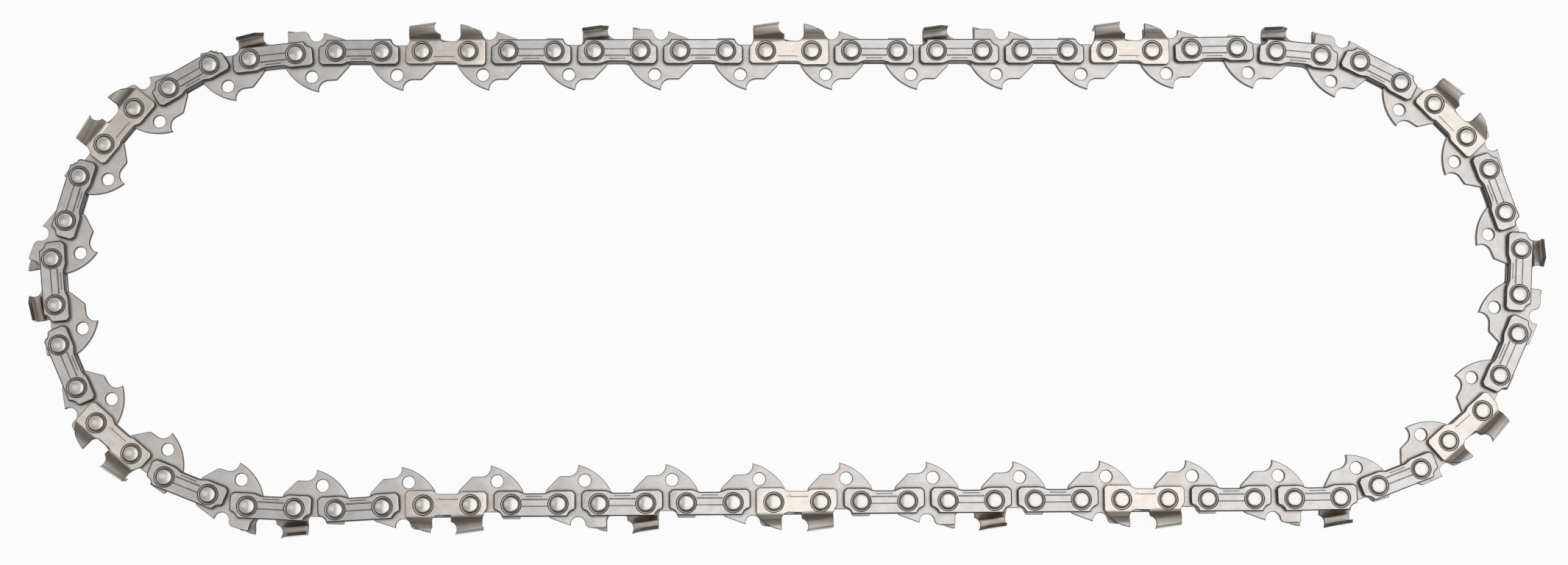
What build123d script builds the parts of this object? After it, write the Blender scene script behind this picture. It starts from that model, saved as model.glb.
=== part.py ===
# Loop of low-profile saw chain, lying flat with its rivets upright.
# A link's own frame has its rear rivet at the origin, +X along the chain's travel, +Y out of the loop
# and z = 0 at the middle of the drive links. Heights in the link's plane are counted from the rivet line.
from build123d import *
import math
import os

# Chain, millimetres
PITCH = 9.525
SIDE_SPAN = 10.2
DRIVE_SPAN = 2 * PITCH - SIDE_SPAN
CUTTER_SETS = 20

# Thicknesses and running fits
DRIVE_GAUGE = 1.27
PLATE = 1.2
SIDE_GAP = 0.06
BORE_GAP = 0.05
INNER_FACE = DRIVE_GAUGE / 2 + SIDE_GAP
OUTER_FACE = INNER_FACE + PLATE

# Rivets
HUB_RADIUS = 1.8
HEAD_BASE_RADIUS = 2.0
HEAD_TOP_RADIUS = 1.5
HEAD_HEIGHT = 0.45

# Tie straps
STRAP_TOP = 2.7
STRAP_BOTTOM = 3.0
STRAP_WAIST = 2.4
STRAP_END = 3.8
STRAP_LOBE = 1.5
STRAP_WAIST_RUN = 1.3
STRAP_CHAMFER = 0.75
STRAP_NOTCH = 1.4
STRAP_NOTCH_SAG = 0.3

# Drive links
TANG_DEPTH = 8.55
TANG_SHELF = 6.1
TANG_SHOULDER = 3.0
TANG_REAR = 2.5
TANG_FRONT = 2.75
TANG_FRONT_RUN = 3.0
TANG_TIP = 4.55
TANG_HOOK_RUN = 2.0
TANG_HOOK_SAG = 0.7
TANG_BACK_SAG = 0.95
OIL_HOLE_RADIUS = 1.35
OIL_HOLE_X = 3.15
OIL_HOLE_DEPTH = 5.1
LOBE_WALL = 0.55
VALLEY = 1.65
BUMP_TOP = 3.15
BUMP_HALF = 1.95
GUARD_TOP = 5.2
GUARD_REAR = 1.65
GUARD_FRONT = 3.0
GUARD_SHOULDER = 1.2
GUARD_SCOOP_SAG = 1.55
GUARD_POINT_X = 6.2
GUARD_POINT_TOP = 4.7
GUARD_RAMP_END = 3.0

# Cutters
CUTTER_REAR = 3.65
CUTTER_FRONT = 3.85
CUTTER_REAR_BOTTOM = 2.85
CUTTER_FRONT_BOTTOM = 3.2
CUTTER_CHAMFER = 0.6
CUTTER_LOBE = 2.0
CUTTER_WAIST = 2.4
REAR_NOTCH = 1.5
GULLET_FLOOR = 2.25
GULLET_RUN = 2.0
GULLET_SAG = 0.5
TOOTH_REAR = 2.75
TOOTH_TIP = 3.2
TOOTH_FOOT = 4.15
TOOTH_REAR_HEIGHT = 5.75
TOOTH_TIP_HEIGHT = 6.6
HALF_KERF = 3.1
FLARE_BASE = 2.1
FLARE_TOP = 4.2
TOOTH_CORNER = 0.9
TOP_PLATE_REACH = 3.8
TOP_PLATE_SLOPE = 0.25
FILE_ANGLE = 30
FILE_RADIUS = 2.0
FILE_HEIGHT = 5.4
GAUGE_REAR = 1.7
GAUGE_HEIGHT = 6.05
GAUGE_FRONT_SAG = 0.85
GAUGE_CREASE = 3.6
GAUGE_JOGGLE_TOP = 5.0
GAUGE_JOGGLE = 0.55

# Turn of the chain at each rivet round the two ends of the loop, clockwise degrees
LEFT_BEND = (0, -2, -1, 5, 1, 14, 5, 13, 6, 19, 6, 17, 1, 24, -3, 21, 2, 20, 1, 22, 2, 3, 3)
RIGHT_BEND = (-2, 1, 6, 1, 3, 19, 6, 13, 10, 15, -3, 26, 0, 21, 3, 21, -3, 23, 4, 16, 1)
FIRST_HEADING = 181
CLOSING_ROUNDS = 6
PROBE_TURN = 1e-3


def slab(outline, low, high):
    """The outline as a plate between two heights."""
    return extrude(Pos(0, 0, low) * outline, high - low)


def rivet(x):
    """A rivet with its hub between the side plates and a peened head on each of them."""
    hub = Cylinder(HUB_RADIUS, 2 * INNER_FACE)
    shank = Cylinder(HEAD_TOP_RADIUS, 2 * OUTER_FACE)
    head = Cone(HEAD_BASE_RADIUS, HEAD_TOP_RADIUS, HEAD_HEIGHT, align=(Align.CENTER, Align.CENTER, Align.MIN))
    head = Pos(0, 0, OUTER_FACE) * head
    return Pos(x, 0, 0) * (hub + shank + head + mirror(head, Plane.XY))


def strap_outline():
    """A tie strap: hollowed upper corners, cut lower corners and a raised waist."""
    half = SIDE_SPAN / 2
    end = half + STRAP_END
    notch_start = (end - STRAP_NOTCH - STRAP_CHAMFER / 2, STRAP_TOP)
    notch_end = (end - STRAP_CHAMFER / 2, STRAP_TOP - STRAP_NOTCH)
    with BuildSketch() as outline:
        with BuildLine():
            Polyline((0, -STRAP_WAIST), (0, STRAP_TOP), notch_start)
            SagittaArc(notch_start, notch_end, -STRAP_NOTCH_SAG)
            Polyline(
                notch_end,
                (end, STRAP_TOP - STRAP_NOTCH - STRAP_CHAMFER / 2),
                (end, STRAP_CHAMFER - STRAP_BOTTOM),
                (end - STRAP_CHAMFER, -STRAP_BOTTOM),
                (half - STRAP_LOBE, -STRAP_BOTTOM),
                (half - STRAP_LOBE - STRAP_WAIST_RUN, -STRAP_WAIST),
                (0, -STRAP_WAIST),
            )
        make_face()
        mirror(about=Plane.YZ)
    return Pos(half, 0, 0) * outline.sketch


def bump_edge(start, end):
    """Upper edge of a plain drive link, with a flat bump over its rear rivet."""
    lobe = HUB_RADIUS + BORE_GAP + LOBE_WALL
    Polyline(
        start,
        (-BUMP_HALF, lobe),
        (-BUMP_HALF, BUMP_TOP),
        (BUMP_HALF, BUMP_TOP),
        (BUMP_HALF, lobe),
        (TANG_FRONT, VALLEY),
        (DRIVE_SPAN - TANG_FRONT, VALLEY),
        (DRIVE_SPAN - BUMP_HALF, lobe),
        (DRIVE_SPAN + BUMP_HALF, lobe),
        end,
    )


def guard_edge(start, end):
    """Upper edge of a guard drive link: tall rear hump, scoop, sharp point and front ramp."""
    shoulder_start = (GUARD_FRONT - GUARD_SHOULDER, GUARD_TOP)
    shoulder_end = (GUARD_FRONT, GUARD_TOP - GUARD_SHOULDER)
    point = (GUARD_POINT_X, GUARD_POINT_TOP)
    Polyline(start, (-GUARD_REAR, BUMP_TOP), (-GUARD_REAR, GUARD_TOP), shoulder_start)
    RadiusArc(shoulder_start, shoulder_end, GUARD_SHOULDER)
    SagittaArc(shoulder_end, point, -GUARD_SCOOP_SAG)
    Polyline(point, (DRIVE_SPAN + BUMP_HALF, GUARD_RAMP_END), end)


def drive_link(upper_edge):
    """A drive link: hooked tang, oil hole, two bores and the upper edge of its kind."""
    front = DRIVE_SPAN + TANG_FRONT
    rear_top = (-TANG_REAR, VALLEY)
    rear_bottom = (-TANG_REAR, -TANG_SHOULDER)
    front_top = (front, VALLEY)
    shelf_start = (TANG_TIP + TANG_HOOK_RUN, -TANG_SHELF)
    tip = (TANG_TIP, -TANG_DEPTH)
    with BuildSketch() as outline:
        with BuildLine():
            upper_edge(rear_top, front_top)
            Polyline(front_top, (front, -TANG_SHOULDER), (front - TANG_FRONT_RUN, -TANG_SHELF), shelf_start)
            SagittaArc(shelf_start, tip, -TANG_HOOK_SAG)
            SagittaArc(tip, rear_bottom, TANG_BACK_SAG)
            Line(rear_bottom, rear_top)
        make_face()
        with Locations((0, 0), (DRIVE_SPAN, 0)):
            Circle(HUB_RADIUS + BORE_GAP, mode=Mode.SUBTRACT)
        with Locations((OIL_HOLE_X, -OIL_HOLE_DEPTH)):
            Circle(OIL_HOLE_RADIUS, mode=Mode.SUBTRACT)
    return slab(outline.sketch, -DRIVE_GAUGE / 2, DRIVE_GAUGE / 2)


def cutter_plate():
    """The flat side plate of a cutter, up to the gullet floor."""
    front = SIDE_SPAN + CUTTER_FRONT
    front_lobe = SIDE_SPAN - CUTTER_LOBE
    with BuildSketch() as outline:
        with BuildLine():
            Polyline(
                (-TOOTH_REAR, GULLET_FLOOR),
                (front, GULLET_FLOOR),
                (front, CUTTER_CHAMFER - CUTTER_FRONT_BOTTOM),
                (front - CUTTER_CHAMFER, -CUTTER_FRONT_BOTTOM),
                (front_lobe, -CUTTER_FRONT_BOTTOM),
                (front_lobe - CUTTER_CHAMFER, -CUTTER_WAIST),
                (CUTTER_LOBE + CUTTER_CHAMFER, -CUTTER_WAIST),
                (CUTTER_LOBE, -CUTTER_REAR_BOTTOM),
                (CUTTER_CHAMFER - CUTTER_REAR, -CUTTER_REAR_BOTTOM),
                (-CUTTER_REAR, CUTTER_CHAMFER - CUTTER_REAR_BOTTOM),
                (-CUTTER_REAR, GULLET_FLOOR - REAR_NOTCH),
                close=True,
            )
        make_face()
    return slab(outline.sketch, INNER_FACE, OUTER_FACE)


def tooth_section(x, height):
    """Section of the tooth across the chain: flared side wall rolled over into the top plate."""
    root = GULLET_FLOOR - PLATE
    inner_wall = HALF_KERF - PLATE
    inner_end = HALF_KERF - TOP_PLATE_REACH
    corner_start = (height, HALF_KERF - TOOTH_CORNER)
    corner_end = (height - TOOTH_CORNER, HALF_KERF)
    with BuildSketch(Plane.YZ.offset(x)) as section:
        with BuildLine():
            RadiusArc(corner_start, corner_end, -TOOTH_CORNER)
            Polyline(
                corner_end,
                (FLARE_TOP, HALF_KERF),
                (FLARE_BASE, OUTER_FACE),
                (root, OUTER_FACE),
                (root, INNER_FACE),
                (FLARE_BASE, INNER_FACE),
                (FLARE_TOP, inner_wall),
                (height - PLATE, inner_wall),
                (height - PLATE - TOP_PLATE_SLOPE, inner_end),
                (height - TOP_PLATE_SLOPE, inner_end),
                corner_start,
            )
        make_face()
    return section.sketch


def tooth():
    """The cutting tooth, rising towards its tip, with the hooked face that a round file leaves."""
    rise = (TOOTH_TIP_HEIGHT - TOOTH_REAR_HEIGHT) / (TOOTH_TIP + TOOTH_REAR)
    foot_height = TOOTH_TIP_HEIGHT + rise * (TOOTH_FOOT - TOOTH_TIP)
    blank = loft([tooth_section(-TOOTH_REAR, TOOTH_REAR_HEIGHT), tooth_section(TOOTH_FOOT, foot_height)])
    slant = math.radians(FILE_ANGLE)
    bite = math.sqrt(FILE_RADIUS**2 - (TOOTH_TIP_HEIGHT - FILE_HEIGHT) ** 2)
    file_axis = Plane(
        origin=(TOOTH_TIP + bite / math.cos(slant), FILE_HEIGHT, HALF_KERF),
        z_dir=(math.sin(slant), 0, math.cos(slant)),
    )
    return blank - file_axis * Cylinder(FILE_RADIUS, 4 * TOP_PLATE_REACH)


def depth_gauge():
    """The depth gauge: a rounded fin that steps outwards above its crease."""
    root = GULLET_FLOOR - PLATE
    rear = SIDE_SPAN - GAUGE_REAR
    front = (SIDE_SPAN + CUTTER_FRONT, GULLET_FLOOR)
    gullet_start = (rear - GULLET_RUN, GULLET_FLOOR)
    gullet_end = (rear, GAUGE_CREASE)
    tip = (rear, GAUGE_HEIGHT)
    with BuildSketch() as outline:
        with BuildLine():
            SagittaArc(gullet_start, gullet_end, -GULLET_SAG)
            Line(gullet_end, tip)
            SagittaArc(tip, front, GAUGE_FRONT_SAG)
            Polyline(front, (front[0], root), (gullet_start[0], root), gullet_start)
        make_face()
    above = GAUGE_HEIGHT + GAUGE_FRONT_SAG
    with BuildSketch(Plane.YZ) as joggle:
        with BuildLine():
            Polyline(
                (root, INNER_FACE),
                (GAUGE_CREASE, INNER_FACE),
                (GAUGE_JOGGLE_TOP, INNER_FACE + GAUGE_JOGGLE),
                (above, INNER_FACE + GAUGE_JOGGLE),
                (above, OUTER_FACE + GAUGE_JOGGLE),
                (GAUGE_JOGGLE_TOP, OUTER_FACE + GAUGE_JOGGLE),
                (GAUGE_CREASE, OUTER_FACE),
                (root, OUTER_FACE),
                close=True,
            )
        make_face()
    fin = slab(outline.sketch, INNER_FACE, OUTER_FACE + GAUGE_JOGGLE)
    return fin & extrude(joggle.sketch, front[0])


def riveted(plates):
    """A pair of side plates and their two rivets, peened into one solid."""
    return plates + rivet(0) + rivet(SIDE_SPAN)


def right_cutter_set():
    """A right-hand cutter riveted to the tie strap on the other side."""
    strap = slab(strap_outline(), -OUTER_FACE, -INNER_FACE)
    return riveted(cutter_plate() + tooth() + depth_gauge() + strap)


def strap_pair():
    """Two plain tie straps with their rivets."""
    strap = slab(strap_outline(), INNER_FACE, OUTER_FACE)
    return riveted(strap + mirror(strap, Plane.XY))


def walk(turns):
    """Each rivet's place with the heading of the link in front of it, and the last link's end."""
    x = 0.0
    y = 0.0
    heading = FIRST_HEADING + turns[0]
    stations = []
    for index, turn in enumerate(turns):
        heading -= turn
        stations.append((x, y, heading))
        span = DRIVE_SPAN if index % 2 else SIDE_SPAN
        x += span * math.cos(math.radians(heading))
        y += span * math.sin(math.radians(heading))
    return stations, (x, y)


def add_wave(turns, cosine, sine):
    """The turns with one gentle wave round the loop added, which leaves their sum as it was."""
    step = 2 * math.pi / len(turns)
    return [
        turn + cosine * math.cos(step * index) + sine * math.sin(step * index)
        for index, turn in enumerate(turns)
    ]


def closed_loop():
    """The rivets' places, with the turns trimmed until the last link ends where the first begins."""
    run = (4 * CUTTER_SETS - len(LEFT_BEND) - len(RIGHT_BEND)) // 2
    turns = [*LEFT_BEND, *[0] * run, *RIGHT_BEND, *[0] * run]
    for _ in range(CLOSING_ROUNDS):
        _, gap = walk(turns)
        _, with_cosine = walk(add_wave(turns, PROBE_TURN, 0))
        _, with_sine = walk(add_wave(turns, 0, PROBE_TURN))
        a, c = [(moved - still) / PROBE_TURN for moved, still in zip(with_cosine, gap)]
        b, d = [(moved - still) / PROBE_TURN for moved, still in zip(with_sine, gap)]
        determinant = a * d - b * c
        cosine = (b * gap[1] - d * gap[0]) / determinant
        sine = (c * gap[0] - a * gap[1]) / determinant
        turns = add_wave(turns, cosine, sine)
    stations, _ = walk(turns)
    return stations


def chain_nodes(places):
    """Every link of the chain at its place, by name."""
    right_set = right_cutter_set()
    left_set = mirror(right_set, Plane.XY)
    straps = strap_pair()
    guard_link = drive_link(guard_edge)
    plain_link = drive_link(bump_edge)
    nodes = {}
    for number in range(CUTTER_SETS):
        cutter_place, guard_place, strap_place, plain_place = places[4 * number : 4 * number + 4]
        if number % 2:
            nodes[f"left_cutter_set_{number + 1:02d}"] = cutter_place * left_set
        else:
            nodes[f"right_cutter_set_{number + 1:02d}"] = cutter_place * right_set
        nodes[f"guard_drive_link_{number + 1:02d}"] = guard_place * guard_link
        nodes[f"tie_link_{number + 1:02d}"] = Compound([strap_place * straps, plain_place * plain_link])
    return nodes


stations = closed_loop()
nodes = chain_nodes([Location((x, y, 0), (0, 0, heading)) for x, y, heading in stations])
box = Compound(list(nodes.values())).bounding_box()
to_origin = Pos(-box.center().X, -box.center().Y, -box.min.Z)
os.makedirs("parts", exist_ok=True)
for name, node in nodes.items():
    export_step(to_origin * node, f"parts/{name}.step")
print(f"loop {box.size.X:.2f} x {box.size.Y:.2f} x {box.size.Z:.2f} mm, {len(stations)} rivets")
print(f"first rivet at {-box.center().X:.6f}, {-box.center().Y:.6f}")
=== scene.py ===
import bpy
import bmesh
from math import atan2, cos, hypot, pi, radians, sin, sqrt, tan
from mathutils import Euler, Matrix, Vector
from mathutils.geometry import tessellate_polygon


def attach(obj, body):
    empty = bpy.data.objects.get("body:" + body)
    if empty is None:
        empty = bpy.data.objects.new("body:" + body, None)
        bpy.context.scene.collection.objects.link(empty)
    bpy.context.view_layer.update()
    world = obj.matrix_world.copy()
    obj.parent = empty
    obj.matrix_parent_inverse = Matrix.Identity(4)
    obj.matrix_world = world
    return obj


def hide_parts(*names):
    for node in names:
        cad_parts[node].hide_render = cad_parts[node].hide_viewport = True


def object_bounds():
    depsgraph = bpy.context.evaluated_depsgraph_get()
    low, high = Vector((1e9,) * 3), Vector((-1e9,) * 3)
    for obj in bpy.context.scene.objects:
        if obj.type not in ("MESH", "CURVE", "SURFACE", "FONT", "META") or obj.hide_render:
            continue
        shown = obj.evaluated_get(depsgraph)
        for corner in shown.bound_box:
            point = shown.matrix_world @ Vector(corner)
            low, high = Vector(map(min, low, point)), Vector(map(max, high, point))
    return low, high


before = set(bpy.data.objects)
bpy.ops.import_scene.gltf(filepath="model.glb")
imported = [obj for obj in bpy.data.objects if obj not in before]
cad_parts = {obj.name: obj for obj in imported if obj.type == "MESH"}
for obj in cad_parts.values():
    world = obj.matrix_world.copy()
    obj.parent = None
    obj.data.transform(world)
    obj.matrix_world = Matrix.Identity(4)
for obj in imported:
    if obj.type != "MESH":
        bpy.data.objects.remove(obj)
cad_box = [list(corner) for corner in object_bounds()]

MM = 0.001
SETS = 20
MIDDLE = 0.5 * (cad_box[0][2] + cad_box[1][2]) / MM

# Link sizes in millimetres, after the solids: x along the travel from the rear rivet, y out of the loop
SIDE_SPAN = 10.2
DRIVE_SPAN = 8.85
DRIVE_GAUGE = 1.27
PLATE = 1.2
SIDE_GAP = 0.06
BORE_GAP = 0.05
INNER_FACE = DRIVE_GAUGE / 2 + SIDE_GAP
OUTER_FACE = INNER_FACE + PLATE
SEATS = [(0, 0), (SIDE_SPAN, 0)]

# Rivets: domed head with a bevelled rim, shank in the plates, hub between them
HUB_RADIUS = 1.8
HUB_FIT = 0.01
SHANK_RADIUS = 1.55
SHANK_FIT = 0.02
HEAD_RADIUS = 1.95
HEAD_HEIGHT = 0.45
HEAD_BEVEL = 0.08
HEAD_SINK = 0.02
DOME_RADIUS = 1.52
DOME_RISE = 0.16
DOME_STEPS = 6
DOME_RIM = 0.04
DOME_RIM_DROP = 0.03

# Ring pressed into the plates round a rivet; its wall as shares of the way out and of the depth left
SINK_FLOOR = 2.1
SINK_RADIUS = 2.32
SINK_DEPTH = 0.14
SINK_WALL = ((0.4, 0.75), (0.8, 0.2))

# Fineness of the curves
CIRCLE_STEPS = 44
ROLL_STEPS = 6
SHORT_ARC = 6
MIDDLE_ARC = 8
LONG_ARC = 14

# Reach of a rounded corner along its edges
TIGHT = 0.25
SMALL = 0.3
MEDIUM = 0.4
WIDE = 0.5
BROAD = 0.6
CORNER_SHARE = 0.48

MITRE_LIMIT = 0.35
GROOVE_SLOPE = 0.7
STEEP = 0.94
SHARP_ANGLE = radians(30)


# Outlines

def arc(start, end, sagitta, steps):
    """Points of an arc from start to end, both included; a positive sagitta bulges to the left."""
    a = Vector(start)
    b = Vector(end)
    chord = b - a
    length = chord.length
    left = Vector((-chord.y, chord.x)) / length
    radius = (length * length / 4 + sagitta * sagitta) / (2 * abs(sagitta))
    side = 1 if sagitta > 0 else -1
    centre = (a + b) / 2 + left * (sagitta - side * radius)
    first = atan2(a.y - centre.y, a.x - centre.x)
    last = atan2(b.y - centre.y, b.x - centre.x)
    sweep = (last - first + pi) % (2 * pi) - pi
    turns = [first + sweep * i / steps for i in range(steps + 1)]
    return [(centre.x + radius * cos(t), centre.y + radius * sin(t)) for t in turns]


def round_corners(points, steps=5):
    """The closed outline with its corners rounded; a point is (x, y) for a sharp one or (x, y, reach)."""
    rounded = []
    count = len(points)
    for i, point in enumerate(points):
        corner = Vector(point[:2])
        reach = point[2] if len(point) > 2 else 0.0
        if not reach:
            rounded.append(tuple(corner))
            continue
        before = Vector(points[i - 1][:2]) - corner
        after = Vector(points[(i + 1) % count][:2]) - corner
        reach = min(reach, CORNER_SHARE * before.length, CORNER_SHARE * after.length)
        first = corner + before.normalized() * reach
        last = corner + after.normalized() * reach
        for step in range(steps + 1):
            t = step / steps
            rounded.append(tuple(first * (1 - t) ** 2 + corner * 2 * t * (1 - t) + last * t**2))
    return rounded


def circle(x, y, radius):
    """A clockwise ring, the winding of a hole."""
    turns = [2 * pi * i / CIRCLE_STEPS for i in range(CIRCLE_STEPS)]
    return [(x + radius * cos(t), y - radius * sin(t)) for t in turns]


def capsule(x0, x1, y, half, steps=6):
    """A clockwise slot outline along x."""
    points = []
    for centre, turn in ((x1, pi / 2), (x0, -pi / 2)):
        for i in range(steps + 1):
            angle = turn - pi * i / steps
            points.append((centre + half * cos(angle), y + half * sin(angle)))
    return points


def inset(loop, distance):
    """The loop moved to its left, into the material, by a mitred distance."""
    moved = []
    count = len(loop)
    for i in range(count):
        here = Vector(loop[i])
        into = (here - Vector(loop[i - 1])).normalized()
        out = (Vector(loop[(i + 1) % count]) - here).normalized()
        n1 = Vector((-into.y, into.x))
        n2 = Vector((-out.y, out.x))
        mitre = (n1 + n2) / max(MITRE_LIMIT, 1 + n1.dot(n2))
        moved.append(tuple(here + mitre * distance))
    return moved


# Plates with rolled edges, shaped holes and pressed grooves

def add_ring(bm, loop, z):
    """The loop's points as vertices at one height."""
    return [bm.verts.new((x, y, z)) for x, y in loop]


def bridge(bm, low, high):
    """Side faces between two rings, the low one first."""
    count = len(low)
    for i in range(count):
        j = (i + 1) % count
        bm.faces.new((low[i], low[j], high[j], high[i]))


def cap(bm, rings, upward):
    """A flat face over an outer ring with the other rings as holes in it."""
    verts = [v for ring in rings for v in ring]
    for tri in tessellate_polygon([[v.co for v in ring] for ring in rings]):
        corners = [verts[i] for i in tri]
        normal = (corners[1].co - corners[0].co).cross(corners[2].co - corners[0].co)
        if (normal.z > 0) != upward:
            corners.reverse()
        bm.faces.new(corners)


def rolled_wall(bm, loop, low, high, roll):
    """Wall of a loop, rolled over at both faces by (width, depth); returns the end rings."""
    width, depth = roll
    quarter = [pi / 2 * i / ROLL_STEPS for i in range(ROLL_STEPS + 1)]
    profile = [(width * (1 - sin(t)), low + depth * (1 - cos(t))) for t in quarter]
    profile += [(width * (1 - cos(t)), high - depth * (1 - sin(t))) for t in quarter]
    rings = [add_ring(bm, inset(loop, inward), z) for inward, z in profile]
    for lower, upper in zip(rings, rings[1:]):
        bridge(bm, lower, upper)
    return rings[0], rings[-1]


def pressed_groove(bm, loop, high, depth):
    """A sunk groove in the upper face; returns the ring of its mouth."""
    mouth = add_ring(bm, loop, high)
    floor = add_ring(bm, inset(loop, -GROOVE_SLOPE * depth), high - depth)
    bridge(bm, floor, mouth)
    cap(bm, [floor], True)
    return mouth


def rivet_seat(bm, x, y, low, high):
    """A through hole with the ring that the peened rivet sits in; returns its end rings."""
    profile = [(SHANK_RADIUS, low), (SHANK_RADIUS, high - SINK_DEPTH), (SINK_FLOOR, high - SINK_DEPTH)]
    for way, left in SINK_WALL:
        profile.append(((1 - way) * SINK_FLOOR + way * SINK_RADIUS, high - left * SINK_DEPTH))
    profile.append((SINK_RADIUS, high))
    rings = [add_ring(bm, circle(x, y, r), z) for r, z in profile]
    for lower, upper in zip(rings, rings[1:]):
        bridge(bm, lower, upper)
    return rings[0], rings[-1]


def plate(outline, low, high, roll, holes=(), seats=(), grooves=()):
    """A pressed plate. holes are (x, y, radius), seats (x, y), grooves (loop, depth) on the upper face."""
    bm = bmesh.new()
    ends = [rolled_wall(bm, outline, low, high, roll)]
    ends += [rolled_wall(bm, circle(x, y, radius), low, high, roll) for x, y, radius in holes]
    ends += [rivet_seat(bm, x, y, low, high) for x, y in seats]
    tops = [top for _, top in ends]
    tops += [pressed_groove(bm, loop, high, depth) for loop, depth in grooves]
    cap(bm, [bottom for bottom, _ in ends], False)
    cap(bm, tops, True)
    return bm


def mark_steep_faces(bm):
    """Gives the steep faces the second material: on a plate its sheared and rolled edges, in dark steel
    that is partly painted shade; on a rivet its rim, in painted shade.
    """
    bm.normal_update()
    for face in bm.faces:
        face.material_index = int(abs(face.normal.z) < STEEP)


def to_mesh(bm, name, materials, mirrored=False):
    """The finished link in millimetres; mirrored turns it over through the middle of the chain."""
    if mirrored:
        bmesh.ops.scale(bm, vec=(1, 1, -1), verts=bm.verts)
    bmesh.ops.recalc_face_normals(bm, faces=bm.faces)
    mesh = bpy.data.meshes.new(name)
    bm.to_mesh(mesh)
    bm.free()
    mesh.shade_smooth()
    mesh.set_sharp_from_angle(angle=SHARP_ANGLE)
    local = mesh.attributes.new("link", "FLOAT_VECTOR", "POINT")
    for vert in mesh.vertices:
        local.data[vert.index].vector = vert.co
    for material in materials:
        mesh.materials.append(material)
    return mesh


# Tie straps, with three grooves: start along x, height, and half width that is also the depth

STRAP_TOP = 2.7
STRAP_BOTTOM = 3.0
STRAP_WAIST = 2.4
STRAP_END = 3.8
STRAP_LOBE = 1.5
STRAP_WAIST_RUN = 1.3
STRAP_CHAMFER = 0.75
STRAP_NOTCH = 1.4
STRAP_NOTCH_SAG = 0.3
STRAP_ROLL = (0.34, 0.30)
GROOVE_START = SINK_RADIUS + 0.08
STRAP_GROOVES = ((GROOVE_START, -1.05, 0.16), (GROOVE_START, 0.45, 0.13), (3.4, -1.7, 0.11))


def strap_outline():
    """A tie strap: hollowed upper corners, cut lower corners and a raised waist."""
    half = SIDE_SPAN / 2
    end = half + STRAP_END
    lobe = half - STRAP_LOBE
    notch_end = (end - STRAP_CHAMFER / 2, STRAP_TOP - STRAP_NOTCH)
    notch_start = (end - STRAP_NOTCH - STRAP_CHAMFER / 2, STRAP_TOP)
    front = [
        (lobe - STRAP_WAIST_RUN, -STRAP_WAIST, BROAD),
        (lobe, -STRAP_BOTTOM, BROAD),
        (end - STRAP_CHAMFER, -STRAP_BOTTOM, SMALL),
        (end, STRAP_CHAMFER - STRAP_BOTTOM, SMALL),
        (end, notch_end[1] - STRAP_CHAMFER / 2, TIGHT),
    ]
    front += arc(notch_end, notch_start, STRAP_NOTCH_SAG, MIDDLE_ARC)
    rear = [(-p[0], *p[1:]) for p in reversed(front)]
    return [(x + half, y) for x, y in round_corners(front + rear)]


def strap_bmesh():
    """A tie strap with its rivet seats and pressed grooves."""
    grooves = [
        (capsule(start, SIDE_SPAN - start, height, half), half) for start, height, half in STRAP_GROOVES
    ]
    bm = plate(strap_outline(), INNER_FACE, OUTER_FACE, STRAP_ROLL, seats=SEATS, grooves=grooves)
    mark_steep_faces(bm)
    return bm


# Drive links

TANG_TIP = (4.55, -8.55)
TANG_HOOK_RUN = 2.0
TANG_HOOK_SAG = 0.7
TANG_BACK_SAG = 0.95
TANG_FRONT = 2.75
TANG_FRONT_RUN = 3.0
SHELF = -6.1
SHOULDER = -3.0
REAR_END = -2.5
FRONT_END = DRIVE_SPAN + TANG_FRONT
VALLEY = 1.65
LOBE = 2.4
BUMP_TOP = 3.15
BUMP_HALF = 1.95
GUARD_TOP = 5.2
GUARD_REAR = -1.65
GUARD_FRONT = 3.0
GUARD_SHOULDER = 1.2
GUARD_SHOULDER_SAG = 0.29 * GUARD_SHOULDER
GUARD_SCOOP_SAG = 1.55
GUARD_POINT = (6.2, 4.7)
GUARD_RAMP_END = 3.0
OIL_HOLE = (3.15, -5.1, 1.35)
LINK_ROLL = (0.24, 0.20)


def tang_edge():
    """The lower edge that both kinds share, from the front end round the tang to the rear end."""
    points = [
        (FRONT_END, VALLEY, MEDIUM),
        (FRONT_END, SHOULDER, WIDE),
        (FRONT_END - TANG_FRONT_RUN, SHELF, SMALL),
    ]
    points += arc((TANG_TIP[0] + TANG_HOOK_RUN, SHELF), TANG_TIP, -TANG_HOOK_SAG, MIDDLE_ARC)
    points += arc(TANG_TIP, (REAR_END, SHOULDER), TANG_BACK_SAG, LONG_ARC)[1:-1]
    return points + [(REAR_END, SHOULDER, BROAD), (REAR_END, VALLEY, MEDIUM)]


def plain_edge():
    """Upper edge of a plain drive link: a low bump over its rear rivet and a valley."""
    return [
        (-BUMP_HALF, LOBE, TIGHT),
        (-BUMP_HALF, BUMP_TOP, MEDIUM),
        (BUMP_HALF, BUMP_TOP, MEDIUM),
        (BUMP_HALF, LOBE, TIGHT),
        (TANG_FRONT, VALLEY, WIDE),
        (DRIVE_SPAN - TANG_FRONT, VALLEY, WIDE),
        (DRIVE_SPAN - BUMP_HALF, LOBE, SMALL),
        (DRIVE_SPAN + BUMP_HALF, LOBE, SMALL),
    ]


def guard_edge():
    """Upper edge of a guard drive link: a tall rear hump, a scoop, a sharp point and a ramp."""
    shoulder_start = (GUARD_FRONT - GUARD_SHOULDER, GUARD_TOP)
    shoulder_end = (GUARD_FRONT, GUARD_TOP - GUARD_SHOULDER)
    points = [(GUARD_REAR, BUMP_TOP, SMALL), (GUARD_REAR, GUARD_TOP, MEDIUM)]
    points += arc(shoulder_start, shoulder_end, GUARD_SHOULDER_SAG, SHORT_ARC)
    points += arc(shoulder_end, GUARD_POINT, -GUARD_SCOOP_SAG, MIDDLE_ARC)[1:]
    return points + [(DRIVE_SPAN + BUMP_HALF, GUARD_RAMP_END, MEDIUM)]


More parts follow.
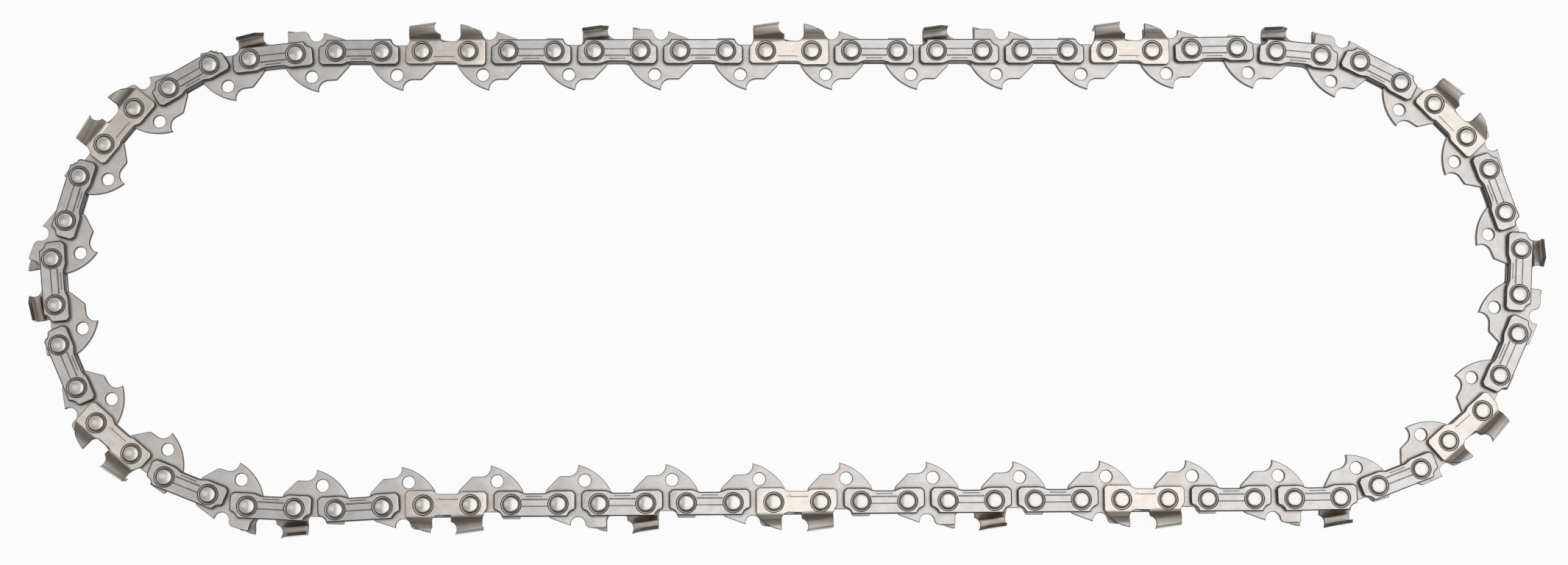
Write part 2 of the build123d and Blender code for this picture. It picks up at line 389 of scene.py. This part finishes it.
def drive_link_bmesh(upper_edge):
    """A drive link with the upper edge of its kind, two bores and an oil hole."""
    outline = round_corners(upper_edge + tang_edge())
    outline.reverse()
    bore = HUB_RADIUS + BORE_GAP
    holes = [(0, 0, bore), (DRIVE_SPAN, 0, bore), OIL_HOLE]
    bm = plate(outline, -DRIVE_GAUGE / 2, DRIVE_GAUGE / 2, LINK_ROLL, holes=holes)
    mark_steep_faces(bm)
    return bm


# Rivets

def rivet_bmesh():
    """A peened rivet: two low domes with bevelled rims, shanks in the plates and the hub between."""
    top = OUTER_FACE + HEAD_HEIGHT
    shares = [i / DOME_STEPS for i in range(1, DOME_STEPS + 1)]
    half = [(DOME_RADIUS * share, top - DOME_RISE * share**2) for share in shares]
    half += [
        (DOME_RADIUS + DOME_RIM, top - DOME_RISE - DOME_RIM_DROP),
        (HEAD_RADIUS - HEAD_BEVEL, OUTER_FACE - HEAD_SINK),
        (HEAD_RADIUS, OUTER_FACE - HEAD_BEVEL),
        (HEAD_RADIUS, OUTER_FACE - SINK_DEPTH),
        (SHANK_RADIUS - SHANK_FIT, OUTER_FACE - SINK_DEPTH),
        (SHANK_RADIUS - SHANK_FIT, INNER_FACE - HUB_FIT),
        (HUB_RADIUS, INNER_FACE - HUB_FIT),
    ]
    profile = half + [(r, -z) for r, z in reversed(half)]
    turns = [2 * pi * i / CIRCLE_STEPS for i in range(CIRCLE_STEPS)]
    bm = bmesh.new()
    rings = [add_ring(bm, [(r * cos(t), r * sin(t)) for t in turns], z) for r, z in profile]
    for upper, lower in zip(rings, rings[1:]):
        bridge(bm, lower, upper)
    for ring, z in ((rings[0], top), (rings[-1], -top)):
        pole = bm.verts.new((0, 0, z))
        for i in range(CIRCLE_STEPS):
            bm.faces.new((ring[i - 1], ring[i], pole))
    bmesh.ops.recalc_face_normals(bm, faces=bm.faces)
    mark_steep_faces(bm)
    return bm


# Cutters: a flat pattern with rolled edges, folded into the flared tooth and the stepped gauge

CUTTER_FRONT = SIDE_SPAN + 3.85
CUTTER_REAR = -3.65
CUTTER_FRONT_BOTTOM = 3.2
CUTTER_REAR_BOTTOM = 2.85
CUTTER_WAIST = 2.4
CUTTER_LOBE = 2.0
FRONT_WAIST_RUN = 1.0
REAR_WAIST_RUN = 0.9
CUTTER_CHAMFER = 0.6
CUTTER_ROLL = (0.24, 0.20)
REAR_NOTCH = 1.5
GULLET_FLOOR = 2.25
GULLET_RUN = 2.0
GULLET_SAG = 0.5
TOOTH_REAR = -2.75
TOOTH_TIP = 3.2
TOOTH_FOOT = 4.15
TOOTH_TOP = 6.55
TOOTH_SLOPE = 0.143
TOOTH_CORNER = 0.85
TOOTH_THINNING = 0.36
HALF_KERF = 3.08
FLARE_BASE = 2.1
FLARE_TOP = 4.2
FLARE_CURVE = 2.2
TOP_PLATE_END = -0.7
TOP_PLATE_DROP = 0.25
FILE_RADIUS = 2.0
FILE_HEIGHT = 5.4
FILE_SLANT = radians(30)
GAUGE_REAR = SIDE_SPAN - 1.7
GAUGE_HEIGHT = 6.05
GAUGE_FRONT_SAG = 0.85
GAUGE_CREASE = 3.6
GAUGE_JOGGLE_TOP = 5.0
GAUGE_JOGGLE = 0.55
FOLD_SPLIT = 5.6
FOLD_RADIUS = 0.7
FOLD_STEP = 0.22
FOLD_LEAD = 0.5
FOLD_ALLOWANCE = 0.07
FOLD_SPARE = 1.0
CREASE_SNAP = 1e-5
NO_LENGTH = 1e-9
ARROW_HEIGHT = -1.2
ARROW_HALF = 0.1
ARROW_DEPTH = 0.10
ARROW_TAIL = 2.7
ARROW_BARB = 6.6
ARROW_BARB_DROP = 0.42
ARROW_TIP = 7.5
INSIDE_DEPTH = 0.02
INSIDE_MATERIAL = 2


def fold_runs(corners, radii):
    """Straight and bent runs (length, turn) of a path of (y, z) corners, each corner with its radius."""
    headings = [atan2(b[1] - a[1], b[0] - a[0]) for a, b in zip(corners, corners[1:])]
    runs = []
    used = 0.0
    for i, heading in enumerate(headings):
        length = hypot(corners[i + 1][0] - corners[i][0], corners[i + 1][1] - corners[i][1])
        if i == len(headings) - 1:
            runs.append((length - used, 0.0))
            break
        turn = headings[i + 1] - heading
        tangent = radii[i] * tan(abs(turn) / 2)
        runs.append((length - used - tangent, 0.0))
        runs.append((radii[i] * abs(turn), turn))
        used = tangent
    return runs


CROWN = (TOOTH_TOP + TOP_PLATE_DROP * TOOTH_CORNER / (HALF_KERF - TOP_PLATE_END), HALF_KERF)
TOOTH_RUNS = fold_runs(
    [
        (0.0, OUTER_FACE),
        (FLARE_BASE, OUTER_FACE),
        (FLARE_TOP, HALF_KERF),
        CROWN,
        (CROWN[0] - TOP_PLATE_DROP, TOP_PLATE_END),
    ],
    [FOLD_RADIUS, FLARE_CURVE, TOOTH_CORNER],
)
GAUGE_RUNS = fold_runs(
    [
        (0.0, OUTER_FACE),
        (GAUGE_CREASE, OUTER_FACE),
        (GAUGE_JOGGLE_TOP, OUTER_FACE + GAUGE_JOGGLE),
        (GAUGE_HEIGHT + FOLD_SPARE, OUTER_FACE + GAUGE_JOGGLE),
    ],
    [FOLD_RADIUS, FOLD_RADIUS],
)
TOOTH_REACH = sum(length for length, _ in TOOTH_RUNS)


def fold_point(runs, s):
    """Place (y, z) and heading of the outer face at the length s along a folded strip."""
    y = 0.0
    z = OUTER_FACE
    angle = 0.0
    if s <= 0:
        return s, z, angle
    for length, bend in runs:
        run = min(length, s)
        turn = bend * run / length
        if turn:
            radius = run / turn
            y += radius * (sin(angle + turn) - sin(angle))
            z -= radius * (cos(angle + turn) - cos(angle))
        else:
            y += run * cos(angle)
            z += run * sin(angle)
        angle += turn
        s -= run
        if s <= NO_LENGTH:
            break
    return y, z, angle


def fold_lines(runs):
    """Lengths at which the flat pattern is creased so that it can fold and take the file's hollow."""
    lines = []
    start = 0.0
    for length, _ in runs:
        steps = max(1, round(length / FOLD_STEP))
        lines += [start + length * i / steps for i in range(steps)]
        start += length
    return [line for line in lines if line > FLARE_BASE - FOLD_LEAD]


def file_face(y, z):
    """How far forward the round file leaves the tooth at a height and a depth."""
    above = abs(y - FILE_HEIGHT)
    if above >= FILE_RADIUS:
        return TOOTH_FOOT
    bite = sqrt(FILE_RADIUS**2 - (TOOTH_TOP - FILE_HEIGHT) ** 2)
    behind = max(0.0, HALF_KERF - TOOTH_CORNER - z)
    axis = TOOTH_TIP + bite / cos(FILE_SLANT) - behind * tan(FILE_SLANT)
    return min(TOOTH_FOOT, axis - sqrt(FILE_RADIUS**2 - above**2) / cos(FILE_SLANT))


def fold_cutter(x, s, w):
    """The flat pattern's point (x, s), w above its inner face, folded to its place."""
    runs = GAUGE_RUNS if x > FOLD_SPLIT else TOOTH_RUNS
    y, z, angle = fold_point(runs, s)
    rise = min(1.0, max(0.0, (s - FLARE_BASE) / (FLARE_TOP - FLARE_BASE)))
    depth = PLATE - w
    if x <= FOLD_SPLIT:
        depth *= 1 - TOOTH_THINNING * rise
    y += depth * sin(angle)
    z -= depth * cos(angle)
    if x <= FOLD_SPLIT and rise > 0:
        squeeze = (file_face(y, z) - TOOTH_REAR) / (TOOTH_FOOT - TOOTH_REAR)
        x = TOOTH_REAR + (x - TOOTH_REAR) * squeeze
        y += TOOTH_SLOPE * (x - TOOTH_TIP) * rise
    return x, y, z


def cutter_outline():
    """The flat pattern of a cutter: side plate, unfolded tooth, gullet and gauge."""
    front_lobe = SIDE_SPAN - CUTTER_LOBE
    points = [
        (CUTTER_FRONT, CUTTER_CHAMFER - CUTTER_FRONT_BOTTOM, SMALL),
        (CUTTER_FRONT - CUTTER_CHAMFER, -CUTTER_FRONT_BOTTOM, SMALL),
        (front_lobe, -CUTTER_FRONT_BOTTOM, BROAD),
        (front_lobe - FRONT_WAIST_RUN, -CUTTER_WAIST, BROAD),
        (CUTTER_LOBE + REAR_WAIST_RUN, -CUTTER_WAIST, MEDIUM),
        (CUTTER_LOBE, -CUTTER_REAR_BOTTOM, WIDE),
        (CUTTER_REAR + CUTTER_CHAMFER, -CUTTER_REAR_BOTTOM, SMALL),
        (CUTTER_REAR, CUTTER_CHAMFER - CUTTER_REAR_BOTTOM, SMALL),
        (CUTTER_REAR, GULLET_FLOOR - REAR_NOTCH, SMALL),
        (TOOTH_REAR, GULLET_FLOOR),
        (TOOTH_REAR, TOOTH_REACH),
        (TOOTH_FOOT, TOOTH_REACH),
        (TOOTH_FOOT, GULLET_FLOOR, SMALL),
    ]
    gullet_start = (GAUGE_REAR - GULLET_RUN, GULLET_FLOOR)
    gauge_tip = (GAUGE_REAR, GAUGE_HEIGHT + FOLD_ALLOWANCE)
    points += arc(gullet_start, (GAUGE_REAR, GAUGE_CREASE), -GULLET_SAG, MIDDLE_ARC)
    points += arc(gauge_tip, (CUTTER_FRONT, GULLET_FLOOR), GAUGE_FRONT_SAG, LONG_ARC)
    outline = round_corners(points)
    outline.reverse()
    return outline


def travel_arrow():
    """Outline of the plain arrow that points along the travel, with one barb."""
    upper = ARROW_HEIGHT + ARROW_HALF
    lower = ARROW_HEIGHT - ARROW_HALF
    return [
        (ARROW_TIP, ARROW_HEIGHT),
        (ARROW_BARB, ARROW_HEIGHT - ARROW_BARB_DROP),
        (ARROW_BARB, lower),
        (ARROW_TAIL, lower),
        (ARROW_TAIL, upper),
        (ARROW_BARB, upper),
    ]


def crease(bm, runs, on_gauge):
    """Cuts the pattern along the fold lines of its tooth or of its gauge."""
    for line in fold_lines(runs):
        faces = [f for f in bm.faces if (f.calc_center_median().x > FOLD_SPLIT) == on_gauge]
        edges = {e for f in faces for e in f.edges}
        verts = {v for f in faces for v in f.verts}
        geometry = list(verts) + list(edges) + faces
        bmesh.ops.bisect_plane(
            bm, geom=geometry, dist=CREASE_SNAP, plane_co=(0, line, 0), plane_no=(0, 1, 0)
        )


def cutter_bmesh():
    """A right-hand cutter; the inside of its bends has a darker material of its own, partly uncoated steel
    and partly painted shade inside the tooth.
    """
    arrow = (travel_arrow(), ARROW_DEPTH)
    bm = plate(cutter_outline(), 0.0, PLATE, CUTTER_ROLL, seats=SEATS, grooves=[arrow])
    crease(bm, TOOTH_RUNS, False)
    crease(bm, GAUGE_RUNS, True)
    bmesh.ops.triangulate(bm, faces=[f for f in bm.faces if len(f.verts) > 4])
    mark_steep_faces(bm)
    for face in bm.faces:
        # Inner faces: darker steel, partly uncoated and partly painted shade inside the tooth
        if all(v.co.z < INSIDE_DEPTH for v in face.verts):
            face.material_index = INSIDE_MATERIAL
    for vert in bm.verts:
        vert.co = fold_cutter(*vert.co)
    return bm


# Node helpers, with the sockets of a colour mix

MIX_FIRST = 6
MIX_SECOND = 7
MIX_RESULT = 2


def feed(tree, value, socket):
    """Gives a socket a constant or another node's output."""
    if isinstance(value, bpy.types.NodeSocket):
        tree.links.new(value, socket)
    else:
        socket.default_value = value


def calculate(tree, operation, *values):
    """The result of a Math node."""
    node = tree.nodes.new("ShaderNodeMath")
    node.operation = operation
    for value, socket in zip(values, node.inputs):
        feed(tree, value, socket)
    return node.outputs["Value"]


def ramp(tree, source, bounds, low=0.0, high=1.0, kind="LINEAR"):
    """The source carried from its (start, end) bounds to low and high."""
    node = tree.nodes.new("ShaderNodeMapRange")
    node.interpolation_type = kind
    values = {"Value": source, "From Min": bounds[0], "From Max": bounds[1], "To Min": low, "To Max": high}
    for name, value in values.items():
        feed(tree, value, node.inputs[name])
    return node.outputs["Result"]


def blend(tree, factor, first, second):
    """Two colours mixed by a factor."""
    node = tree.nodes.new("ShaderNodeMix")
    node.data_type = "RGBA"
    tree.links.new(factor, node.inputs["Factor"])
    for colour, index in ((first, MIX_FIRST), (second, MIX_SECOND)):
        feed(tree, (*colour, 1.0) if isinstance(colour, tuple) else colour, node.inputs[index])
    return node.outputs[MIX_RESULT]


# Steels: noises as scale, detail and stretch, and the bounds between which each one shows

EVEN = (1.0, 1.0, 1.0)
CLOUD = (0.45, 4.0, EVEN)
CLOUD_BOUNDS = (0.32, 0.68)
DRAWN = (2.2, 5.0, (0.14, 1.0, 1.0))
DRAWN_BOUNDS = (0.3, 0.7)
SCRATCH = (3.0, 2.0, (0.10, 2.4, 1.0))
SCRATCH_BOUNDS = (0.66, 0.72)
SCRATCH_SHARE = 0.35
SCRATCH_SHADE = 0.62
SPECK = (7.0, 3.0, EVEN)
SPECK_DEPTH = 0.03
PIECE_SHIFT = 60.0
# Brown above the gullet: partly grinding tint, partly painted shade over the tooth's flare
HEAT_AND_SHADE_BROWN = (0.085, 0.068, 0.055)
HEAT_AND_SHADE_ROOT = (GULLET_FLOOR, GULLET_FLOOR + 0.5)
HEAT_AND_SHADE_FADE = (FLARE_TOP - 0.4, TOOTH_TOP)
HEAT_AND_SHADE_SHARES = (0.85, 0.15)
# Painted shade in the crevices: a dark colour laid where ambient occlusion finds a recess
CREVICE_SHADE_BLACK = (0.075, 0.062, 0.052)
CREVICE_SHADE_REACH = 0.8
CREVICE_SHADE_SAMPLES = 6
CREVICE_SHADE_BOUNDS = (0.25, 0.85)
CREVICE_SHADE_SHARE = 0.85


def heat_tint_and_shade(tree, spot, colour):
    """The colour browned above the gullet on the tooth and the gauge: partly the grinding's tint, partly
    painted shade that darkens the flare.
    """
    parts = tree.nodes.new("ShaderNodeSeparateXYZ")
    tree.links.new(spot, parts.inputs["Vector"])
    root = ramp(tree, parts.outputs["Y"], HEAT_AND_SHADE_ROOT)
    fade = ramp(tree, parts.outputs["Y"], HEAT_AND_SHADE_FADE, *HEAT_AND_SHADE_SHARES)
    return blend(tree, calculate(tree, "MULTIPLY", root, fade), colour, HEAT_AND_SHADE_BROWN)


def steel(name, colour, tint, roughness, grain, speckle, burnt_and_shaded=False):
    """Satin steel: drawn grain, clouded tint, fine scratches, and painted shade that darkens the crevices
    found by ambient occlusion.
    """
    material = bpy.data.materials.new(name)
    material.use_nodes = True
    tree = material.node_tree
    shader = tree.nodes["Principled BSDF"]
    shader.inputs["Metallic"].default_value = 1.0
    place = tree.nodes.new("ShaderNodeAttribute")
    place.attribute_name = "link"
    spot = place.outputs["Vector"]
    piece = tree.nodes.new("ShaderNodeObjectInfo")
    shift = calculate(tree, "MULTIPLY", piece.outputs["Random"], PIECE_SHIFT)

    def noise(scale, detail, stretch):
        """A noise over the link's own place, shifted from piece to piece."""
        spread = tree.nodes.new("ShaderNodeMapping")
        spread.inputs["Scale"].default_value = stretch
        texture = tree.nodes.new("ShaderNodeTexNoise")
        texture.noise_dimensions = "4D"
        texture.inputs["Scale"].default_value = scale
        texture.inputs["Detail"].default_value = detail
        tree.links.new(spot, spread.inputs["Vector"])
        tree.links.new(spread.outputs["Vector"], texture.inputs["Vector"])
        tree.links.new(shift, texture.inputs["W"])
        return texture.outputs["Fac"]

    scratch_colour = tuple(SCRATCH_SHADE * c for c in tint)
    scratches = ramp(tree, noise(*SCRATCH), SCRATCH_BOUNDS, 0.0, SCRATCH_SHARE)
    surface = blend(tree, ramp(tree, noise(*CLOUD), CLOUD_BOUNDS), colour, tint)
    surface = blend(tree, scratches, surface, scratch_colour)
    # Grinding tint and painted shade above the gullet
    if burnt_and_shaded:
        surface = heat_tint_and_shade(tree, spot, surface)
    # Painted shade: darkens the colour where ambient occlusion finds a crevice
    occlusion = tree.nodes.new("ShaderNodeAmbientOcclusion")
    occlusion.samples = CREVICE_SHADE_SAMPLES
    occlusion.inputs["Distance"].default_value = CREVICE_SHADE_REACH * MM
    crevice_shade = ramp(tree, occlusion.outputs["AO"], CREVICE_SHADE_BOUNDS, CREVICE_SHADE_SHARE, 0.0)
    gloss = ramp(tree, noise(*DRAWN), DRAWN_BOUNDS, roughness - grain, roughness + grain)
    bump = tree.nodes.new("ShaderNodeBump")
    bump.inputs["Strength"].default_value = speckle
    bump.inputs["Distance"].default_value = SPECK_DEPTH * MM
    tree.links.new(noise(*SPECK), bump.inputs["Height"])
    tree.links.new(blend(tree, crevice_shade, surface, CREVICE_SHADE_BLACK), shader.inputs["Base Color"])
    tree.links.new(gloss, shader.inputs["Roughness"])
    tree.links.new(bump.outputs["Normal"], shader.inputs["Normal"])
    return material


STRAP_STEEL = steel("strap_steel", (0.74, 0.725, 0.715), (0.62, 0.605, 0.595), 0.26, 0.05, 0.15)
LINK_STEEL = steel("link_steel", (0.78, 0.75, 0.73), (0.68, 0.65, 0.625), 0.36, 0.04, 0.30)
CUTTER_STEEL = steel("cutter_steel", (0.88, 0.83, 0.785), (0.78, 0.72, 0.665), 0.23, 0.05, 0.12, burnt_and_shaded=True)
# Inner faces of the cutters: uncoated steel darkened further with painted shade
INSIDE_STEEL_AND_SHADE = steel("inside_steel_and_shade", (0.56, 0.515, 0.475), (0.42, 0.38, 0.345), 0.30, 0.06, 0.30)
# Steep edges: the sheared steel's own darker tone, deepened with painted shade
SHEARED_AND_SHADED_STEEL = steel("sheared_and_shaded_steel", (0.10, 0.088, 0.08), (0.06, 0.053, 0.048), 0.34, 0.06, 0.30)
RIVET_STEEL = steel("rivet_steel", (0.87, 0.85, 0.83), (0.80, 0.775, 0.75), 0.20, 0.05, 0.15)
# The rivet's steep bevel and shank: the rivet steel darkened as painted shade
RIM_PAINTED_SHADE = steel("rim_painted_shade", (0.21, 0.19, 0.175), (0.145, 0.13, 0.118), 0.28, 0.05, 0.15)


# Pieces at their places

LEVEL_SLACK = 0.02


def head_rings(node, upper):
    """Centres of the two rivet heads at the node's highest or lowest level, in millimetres."""
    spots = [v.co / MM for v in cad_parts[node].data.vertices]
    level = max(p.z for p in spots) if upper else min(p.z for p in spots)
    ring = [p.xy for p in spots if abs(p.z - level) < LEVEL_SLACK]
    one = max(ring, key=lambda p: (p - ring[0]).length)
    other = max(ring, key=lambda p: (p - one).length)
    centres = []
    for near, far in ((one, other), (other, one)):
        group = [p for p in ring if (p - near).length < (p - far).length]
        xs = [p.x for p in group]
        ys = [p.y for p in group]
        centres.append(Vector(((min(xs) + max(xs)) / 2, (min(ys) + max(ys)) / 2)))
    return centres


def nearest_pair(first, second):
    """The two rivets, one from each pair, that are closest to each other."""
    return min(((a, b) for a in first for b in second), key=lambda pair: (pair[0] - pair[1]).length)


def set_node(number):
    """Name of a cutter set, counted from 0; right-hand and left-hand ones take turns."""
    side = "left" if number % 2 else "right"
    return f"{side}_cutter_set_{number + 1:02d}"


def put(name, link, node, rear, front):
    """One piece laid between two rivets in place of the node's solid, riding on its body."""
    heading = atan2(front.y - rear.y, front.x - rear.x)
    place = Matrix.Translation((rear.x, rear.y, MIDDLE)) @ Matrix.Rotation(heading, 4, "Z")
    mesh = link.copy()
    mesh.transform(Matrix.Scale(MM, 4) @ place)
    piece = bpy.data.objects.new(name, mesh)
    bpy.context.scene.collection.objects.link(piece)
    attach(piece, node)
    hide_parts(node)


def build_chain():
    """Every link and rivet of the loop, between the rivet heads of the solids."""
    strap_finish = [STRAP_STEEL, SHEARED_AND_SHADED_STEEL]
    link_finish = [LINK_STEEL, SHEARED_AND_SHADED_STEEL]
    cutter_finish = [CUTTER_STEEL, SHEARED_AND_SHADED_STEEL, INSIDE_STEEL_AND_SHADE]
    near_strap = to_mesh(strap_bmesh(), "strap_near", strap_finish)
    far_strap = to_mesh(strap_bmesh(), "strap_far", strap_finish, mirrored=True)
    right_cutter = to_mesh(cutter_bmesh(), "cutter_right", cutter_finish)
    left_cutter = to_mesh(cutter_bmesh(), "cutter_left", cutter_finish, mirrored=True)
    guard_link = to_mesh(drive_link_bmesh(guard_edge()), "guard_link", link_finish)
    plain_link = to_mesh(drive_link_bmesh(plain_edge()), "plain_link", link_finish)
    rivet = to_mesh(rivet_bmesh(), "rivet", [RIVET_STEEL, RIM_PAINTED_SHADE])
    sets = [head_rings(set_node(n), n % 2 == 1) for n in range(SETS)]
    ties = [head_rings(f"tie_link_{n + 1:02d}", True) for n in range(SETS)]
    for n in range(SETS):
        set_front, tie_rear = nearest_pair(sets[n], ties[n])
        set_rear = next(p for p in sets[n] if p is not set_front)
        tie_front = next(p for p in ties[n] if p is not tie_rear)
        next_rear = nearest_pair([tie_front], sets[(n + 1) % SETS])[1]
        tag = f"{n + 1:02d}"
        cutter, strap = (left_cutter, near_strap) if n % 2 else (right_cutter, far_strap)
        body = set_node(n)
        put(f"cutter_{tag}", cutter, body, set_rear, set_front)
        put(f"cutter_strap_{tag}", strap, body, set_rear, set_front)
        put(f"cutter_rivet_rear_{tag}", rivet, body, set_rear, set_front)
        put(f"cutter_rivet_front_{tag}", rivet, body, set_front, set_rear)
        body = f"guard_drive_link_{tag}"
        put(f"guard_link_{tag}", guard_link, body, set_front, tie_rear)
        body = f"tie_link_{tag}"
        put(f"tie_strap_near_{tag}", near_strap, body, tie_rear, tie_front)
        put(f"tie_strap_far_{tag}", far_strap, body, tie_rear, tie_front)
        put(f"tie_rivet_rear_{tag}", rivet, body, tie_rear, tie_front)
        put(f"tie_rivet_front_{tag}", rivet, body, tie_front, tie_rear)
        put(f"plain_link_{tag}", plain_link, body, tie_front, next_rear)


build_chain()


# Floor, in metres

FLOOR_HALF = 3.0
FLOOR_LEVEL = -0.2 * MM
FLOOR_WHITE = 0.92
FLOOR_ROUGHNESS = 0.9


def pale_floor():
    """A white floor just under the chain that still takes its shadow."""
    corners = [(-1, -1), (1, -1), (1, 1), (-1, 1)]
    mesh = bpy.data.meshes.new("floor")
    places = [(x * FLOOR_HALF, y * FLOOR_HALF, FLOOR_LEVEL) for x, y in corners]
    mesh.from_pydata(places, [], [(0, 1, 2, 3)])
    floor = bpy.data.objects.new("floor", mesh)
    bpy.context.scene.collection.objects.link(floor)
    material = bpy.data.materials.new("floor_white")
    material.use_nodes = True
    tree = material.node_tree
    shader = tree.nodes["Principled BSDF"]
    shader.inputs["Base Color"].default_value = (FLOOR_WHITE, FLOOR_WHITE, FLOOR_WHITE, 1.0)
    shader.inputs["Roughness"].default_value = FLOOR_ROUGHNESS
    glow = tree.nodes.new("ShaderNodeEmission")
    path = tree.nodes.new("ShaderNodeLightPath")
    seen = path.outputs["Is Camera Ray"]
    for ray in ("Is Glossy Ray", "Is Transmission Ray"):
        seen = calculate(tree, "MAXIMUM", seen, path.outputs[ray])
    mix = tree.nodes.new("ShaderNodeMixShader")
    tree.links.new(calculate(tree, "MULTIPLY", seen, FLOOR_WHITE), mix.inputs["Fac"])
    tree.links.new(shader.outputs["BSDF"], mix.inputs[1])
    tree.links.new(glow.outputs["Emission"], mix.inputs[2])
    tree.links.new(mix.outputs["Shader"], tree.nodes["Material Output"].inputs["Surface"])
    mesh.materials.append(material)


# Light: softboxes as name, place, aim and size in metres, and watts; the room's bounds in directions

SOFTBOXES = (
    ("right_softbox", (0.36, -0.02, 1.0), (0.36, -0.02, 0.0), (1.0, 0.9), 1.75),
    ("left_softbox", (-0.52, 0.04, 1.0), (-0.40, 0.02, 0.0), (0.30, 0.4), 0.16),
)
WALLS = (0.80, 0.78, 0.765)
CEILING_LEFT = (0.31, 0.305, 0.30)
CEILING_RIGHT = (0.52, 0.51, 0.50)
CEILING_ACROSS = (-0.55, -0.06)
CEILING_CLIMB = (0.50, 0.85)
FLAG_MIDDLE = 0.07
FLAG_EDGE = (0.68, 0.82)
FLAG_LIGHT = 0.5


def soft_light(name, place, aim, size, power):
    """A rectangular softbox that faces its aim."""
    lamp = bpy.data.lights.new(name, "AREA")
    lamp.shape = "RECTANGLE"
    lamp.size = size[0]
    lamp.size_y = size[1]
    lamp.energy = power
    source = bpy.data.objects.new(name, lamp)
    source.location = place
    source.rotation_euler = (Vector(aim) - Vector(place)).to_track_quat("-Z", "Y").to_euler()
    bpy.context.scene.collection.objects.link(source)


def studio():
    """The softboxes in a pale room: its ceiling is dimmer to the left, its front and back are dimmed."""
    world = bpy.data.worlds.new("studio")
    world.use_nodes = True
    tree = world.node_tree
    background = tree.nodes["Background"]
    view = tree.nodes.new("ShaderNodeTexCoord")
    parts = tree.nodes.new("ShaderNodeSeparateXYZ")
    tree.links.new(view.outputs["Generated"], parts.inputs["Vector"])
    across = ramp(tree, parts.outputs["X"], CEILING_ACROSS, kind="SMOOTHSTEP")
    climb = ramp(tree, parts.outputs["Z"], CEILING_CLIMB, kind="SMOOTHSTEP")
    room = blend(tree, climb, WALLS, blend(tree, across, CEILING_LEFT, CEILING_RIGHT))
    aside = calculate(tree, "SUBTRACT", parts.outputs["Y"], FLAG_MIDDLE)
    aside = calculate(tree, "ABSOLUTE", aside)
    flags = ramp(tree, aside, FLAG_EDGE, 1.0, FLAG_LIGHT, kind="SMOOTHSTEP")
    tree.links.new(room, background.inputs["Color"])
    tree.links.new(flags, background.inputs["Strength"])
    bpy.context.scene.world = world
    for softbox in SOFTBOXES:
        soft_light(*softbox)


# Camera: place in metres, turn in degrees, focal length and frame in the photograph's pixels

CAMERA_PLACE = (-17.1 * MM, -63.3 * MM, 550.5 * MM)
CAMERA_TURN = (6.46, -1.63, 0.53)
CAMERA_CLIP = 0.01
SENSOR_WIDTH = 36.0
FOCAL_PIXELS = 3389
FRAME_WIDTH = 2131


def photo_camera():
    """The camera at the photograph's viewing angle."""
    lens = bpy.data.cameras.new("camera")
    lens.sensor_width = SENSOR_WIDTH
    lens.lens = FOCAL_PIXELS / FRAME_WIDTH * SENSOR_WIDTH
    lens.clip_start = CAMERA_CLIP
    camera = bpy.data.objects.new("camera", lens)
    camera.location = CAMERA_PLACE
    camera.rotation_euler = Euler([radians(a) for a in CAMERA_TURN])
    bpy.context.scene.collection.objects.link(camera)
    bpy.context.scene.camera = camera


pale_floor()
studio()
photo_camera()
bpy.context.scene.view_settings.view_transform = "Standard"
